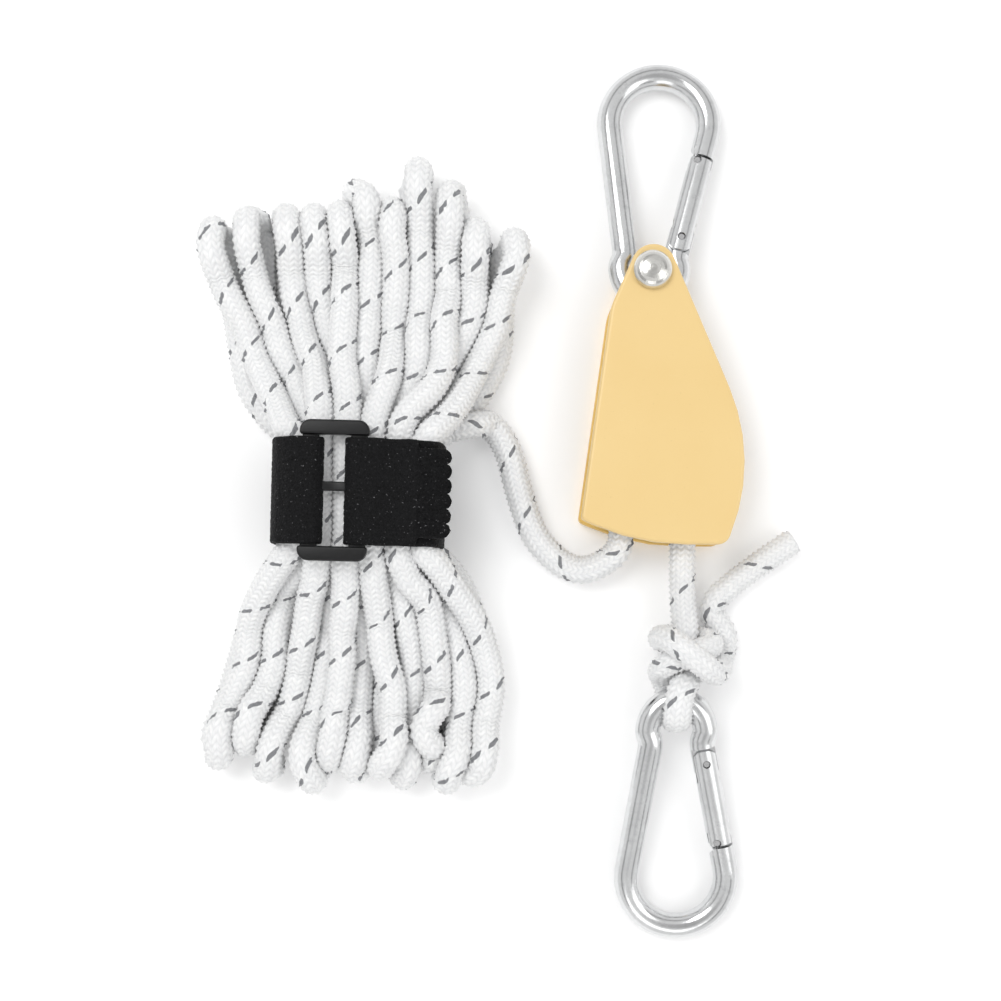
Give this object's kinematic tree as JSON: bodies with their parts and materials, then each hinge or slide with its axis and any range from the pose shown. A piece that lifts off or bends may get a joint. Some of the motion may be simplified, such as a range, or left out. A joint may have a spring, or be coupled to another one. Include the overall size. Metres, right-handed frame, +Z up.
{
  "type": "rope ratchet hoist",
  "caption": "Rope ratchet hoist: a two-cover ratchet block with a snap hook at its top, braided rope to a knotted eye with a second snap hook, and spare rope in a strapped hank.",
  "frame": {"origin": "middle of the block and its two snap hooks, on the surface that the hoist lies on", "axes": "+Y from the lower snap hook to the upper one, +Z up out of the front cover, +X away from the hank"},
  "size_m": [0.1416, 0.212, 0.0296],
  "materials": {
    "front_cover_paint": "satin pale yellow enamel",
    "rear_cover_paint": "satin yellow enamel",
    "frame_plate_steel": "plain stamped sheet",
    "rivet_nickel": "bright plated dome",
    "pin_steel": "turned",
    "wheel_zinc": "die-cast, slightly yellow",
    "pawl_steel": "stamped",
    "spring_wire": "drawn wire",
    "hook_zinc": "bright zinc plate",
    "rope_braid": "white braid with grey tracer",
    "strap_web": "black loop pile webbing",
    "strap_hooks": "black hook pile",
    "buckle_plastic": "satin black moulding"
  },
  "bodies": {
    "block": {"front_cover": "front_cover_paint", "rear_cover": "rear_cover_paint", "front_frame_plate": "frame_plate_steel", "rear_frame_plate": "frame_plate_steel", "top_rivet": "rivet_nickel", "sheave_axle": "pin_steel", "pawl_pin": "pin_steel", "spacer_post_left": "pin_steel", "spacer_post_right": "pin_steel", "pawl_spring": "spring_wire", "rope_in_block": "rope_braid", "rope_lead": "rope_braid", "rope_hank": "rope_braid", "strap_band": "strap_web", "strap_hook_end": "strap_hooks", "strap_buckle": "buckle_plastic"},
    "sheave_wheel": {"sheave": "wheel_zinc", "ratchet_wheel": "wheel_zinc"},
    "pawl": {"ratchet_pawl": "pawl_steel", "release_tab": "pawl_steel"},
    "upper_hook": {"upper_hook_body": "hook_zinc", "upper_gate_hinge_pin": "pin_steel"},
    "upper_hook_gate": {"upper_gate": "hook_zinc", "upper_gate_latch_pin": "pin_steel"},
    "load_end": {"rope_load_line": "rope_braid", "rope_knot": "rope_braid", "rope_eye": "rope_braid", "rope_tail": "rope_braid"},
    "lower_hook": {"lower_hook_body": "hook_zinc", "lower_gate_hinge_pin": "pin_steel"},
    "lower_hook_gate": {"lower_gate": "hook_zinc", "lower_gate_latch_pin": "pin_steel"}
  },
  "joints": [
    {"name": "load_travel", "type": "slide", "parent": "block", "child": "load_end", "axis": [0, 1, 0], "range_m": [-0.02, 0.006], "deforming": ["rope_in_block", "rope_lead"]},
    {"name": "sheave_spin", "type": "hinge", "parent": "block", "child": "sheave_wheel", "pos_m": [-0.00196, 0.012, 0.00785], "axis": [0, 0, 1], "continuous": true},
    {"name": "pawl_release", "type": "hinge", "parent": "block", "child": "pawl", "pos_m": [0.01455, 0.0038, 0.012], "axis": [0, 0, -1], "range_deg": [0, 12], "stiffness_Nm_per_rad": 0.004, "springref_deg": -22.92, "deforming": ["pawl_spring"]},
    {"name": "upper_hook_swing", "type": "hinge", "parent": "block", "child": "upper_hook", "pos_m": [-0.00261, 0.0533, 0.0083], "axis": [0, 0, 1], "range_deg": [-60, 36]},
    {"name": "upper_gate_open", "type": "hinge", "parent": "upper_hook", "child": "upper_hook_gate", "pos_m": [0.00493, 0.06237, 0.00751], "axis": [0.0084, 0.1111, 0.9938], "range_deg": [0, 28], "stiffness_Nm_per_rad": 0.03, "springref_deg": -17.19},
    {"name": "lower_hook_lift", "type": "hinge", "parent": "load_end", "child": "lower_hook", "pos_m": [0.00376, -0.04766, 0.00992], "axis": [-1, 0, 0], "range_deg": [0, 60]},
    {"name": "lower_gate_open", "type": "hinge", "parent": "lower_hook", "child": "lower_hook_gate", "pos_m": [0.01085, -0.06277, 0.00802], "axis": [-0.0013, 0.1241, -0.9923], "range_deg": [0, 28], "stiffness_Nm_per_rad": 0.03, "springref_deg": -17.19}
  ],
  "couplings": [
    {"joint": "sheave_spin", "follows": "load_travel", "rad_per_m": 136.99}
  ]
}
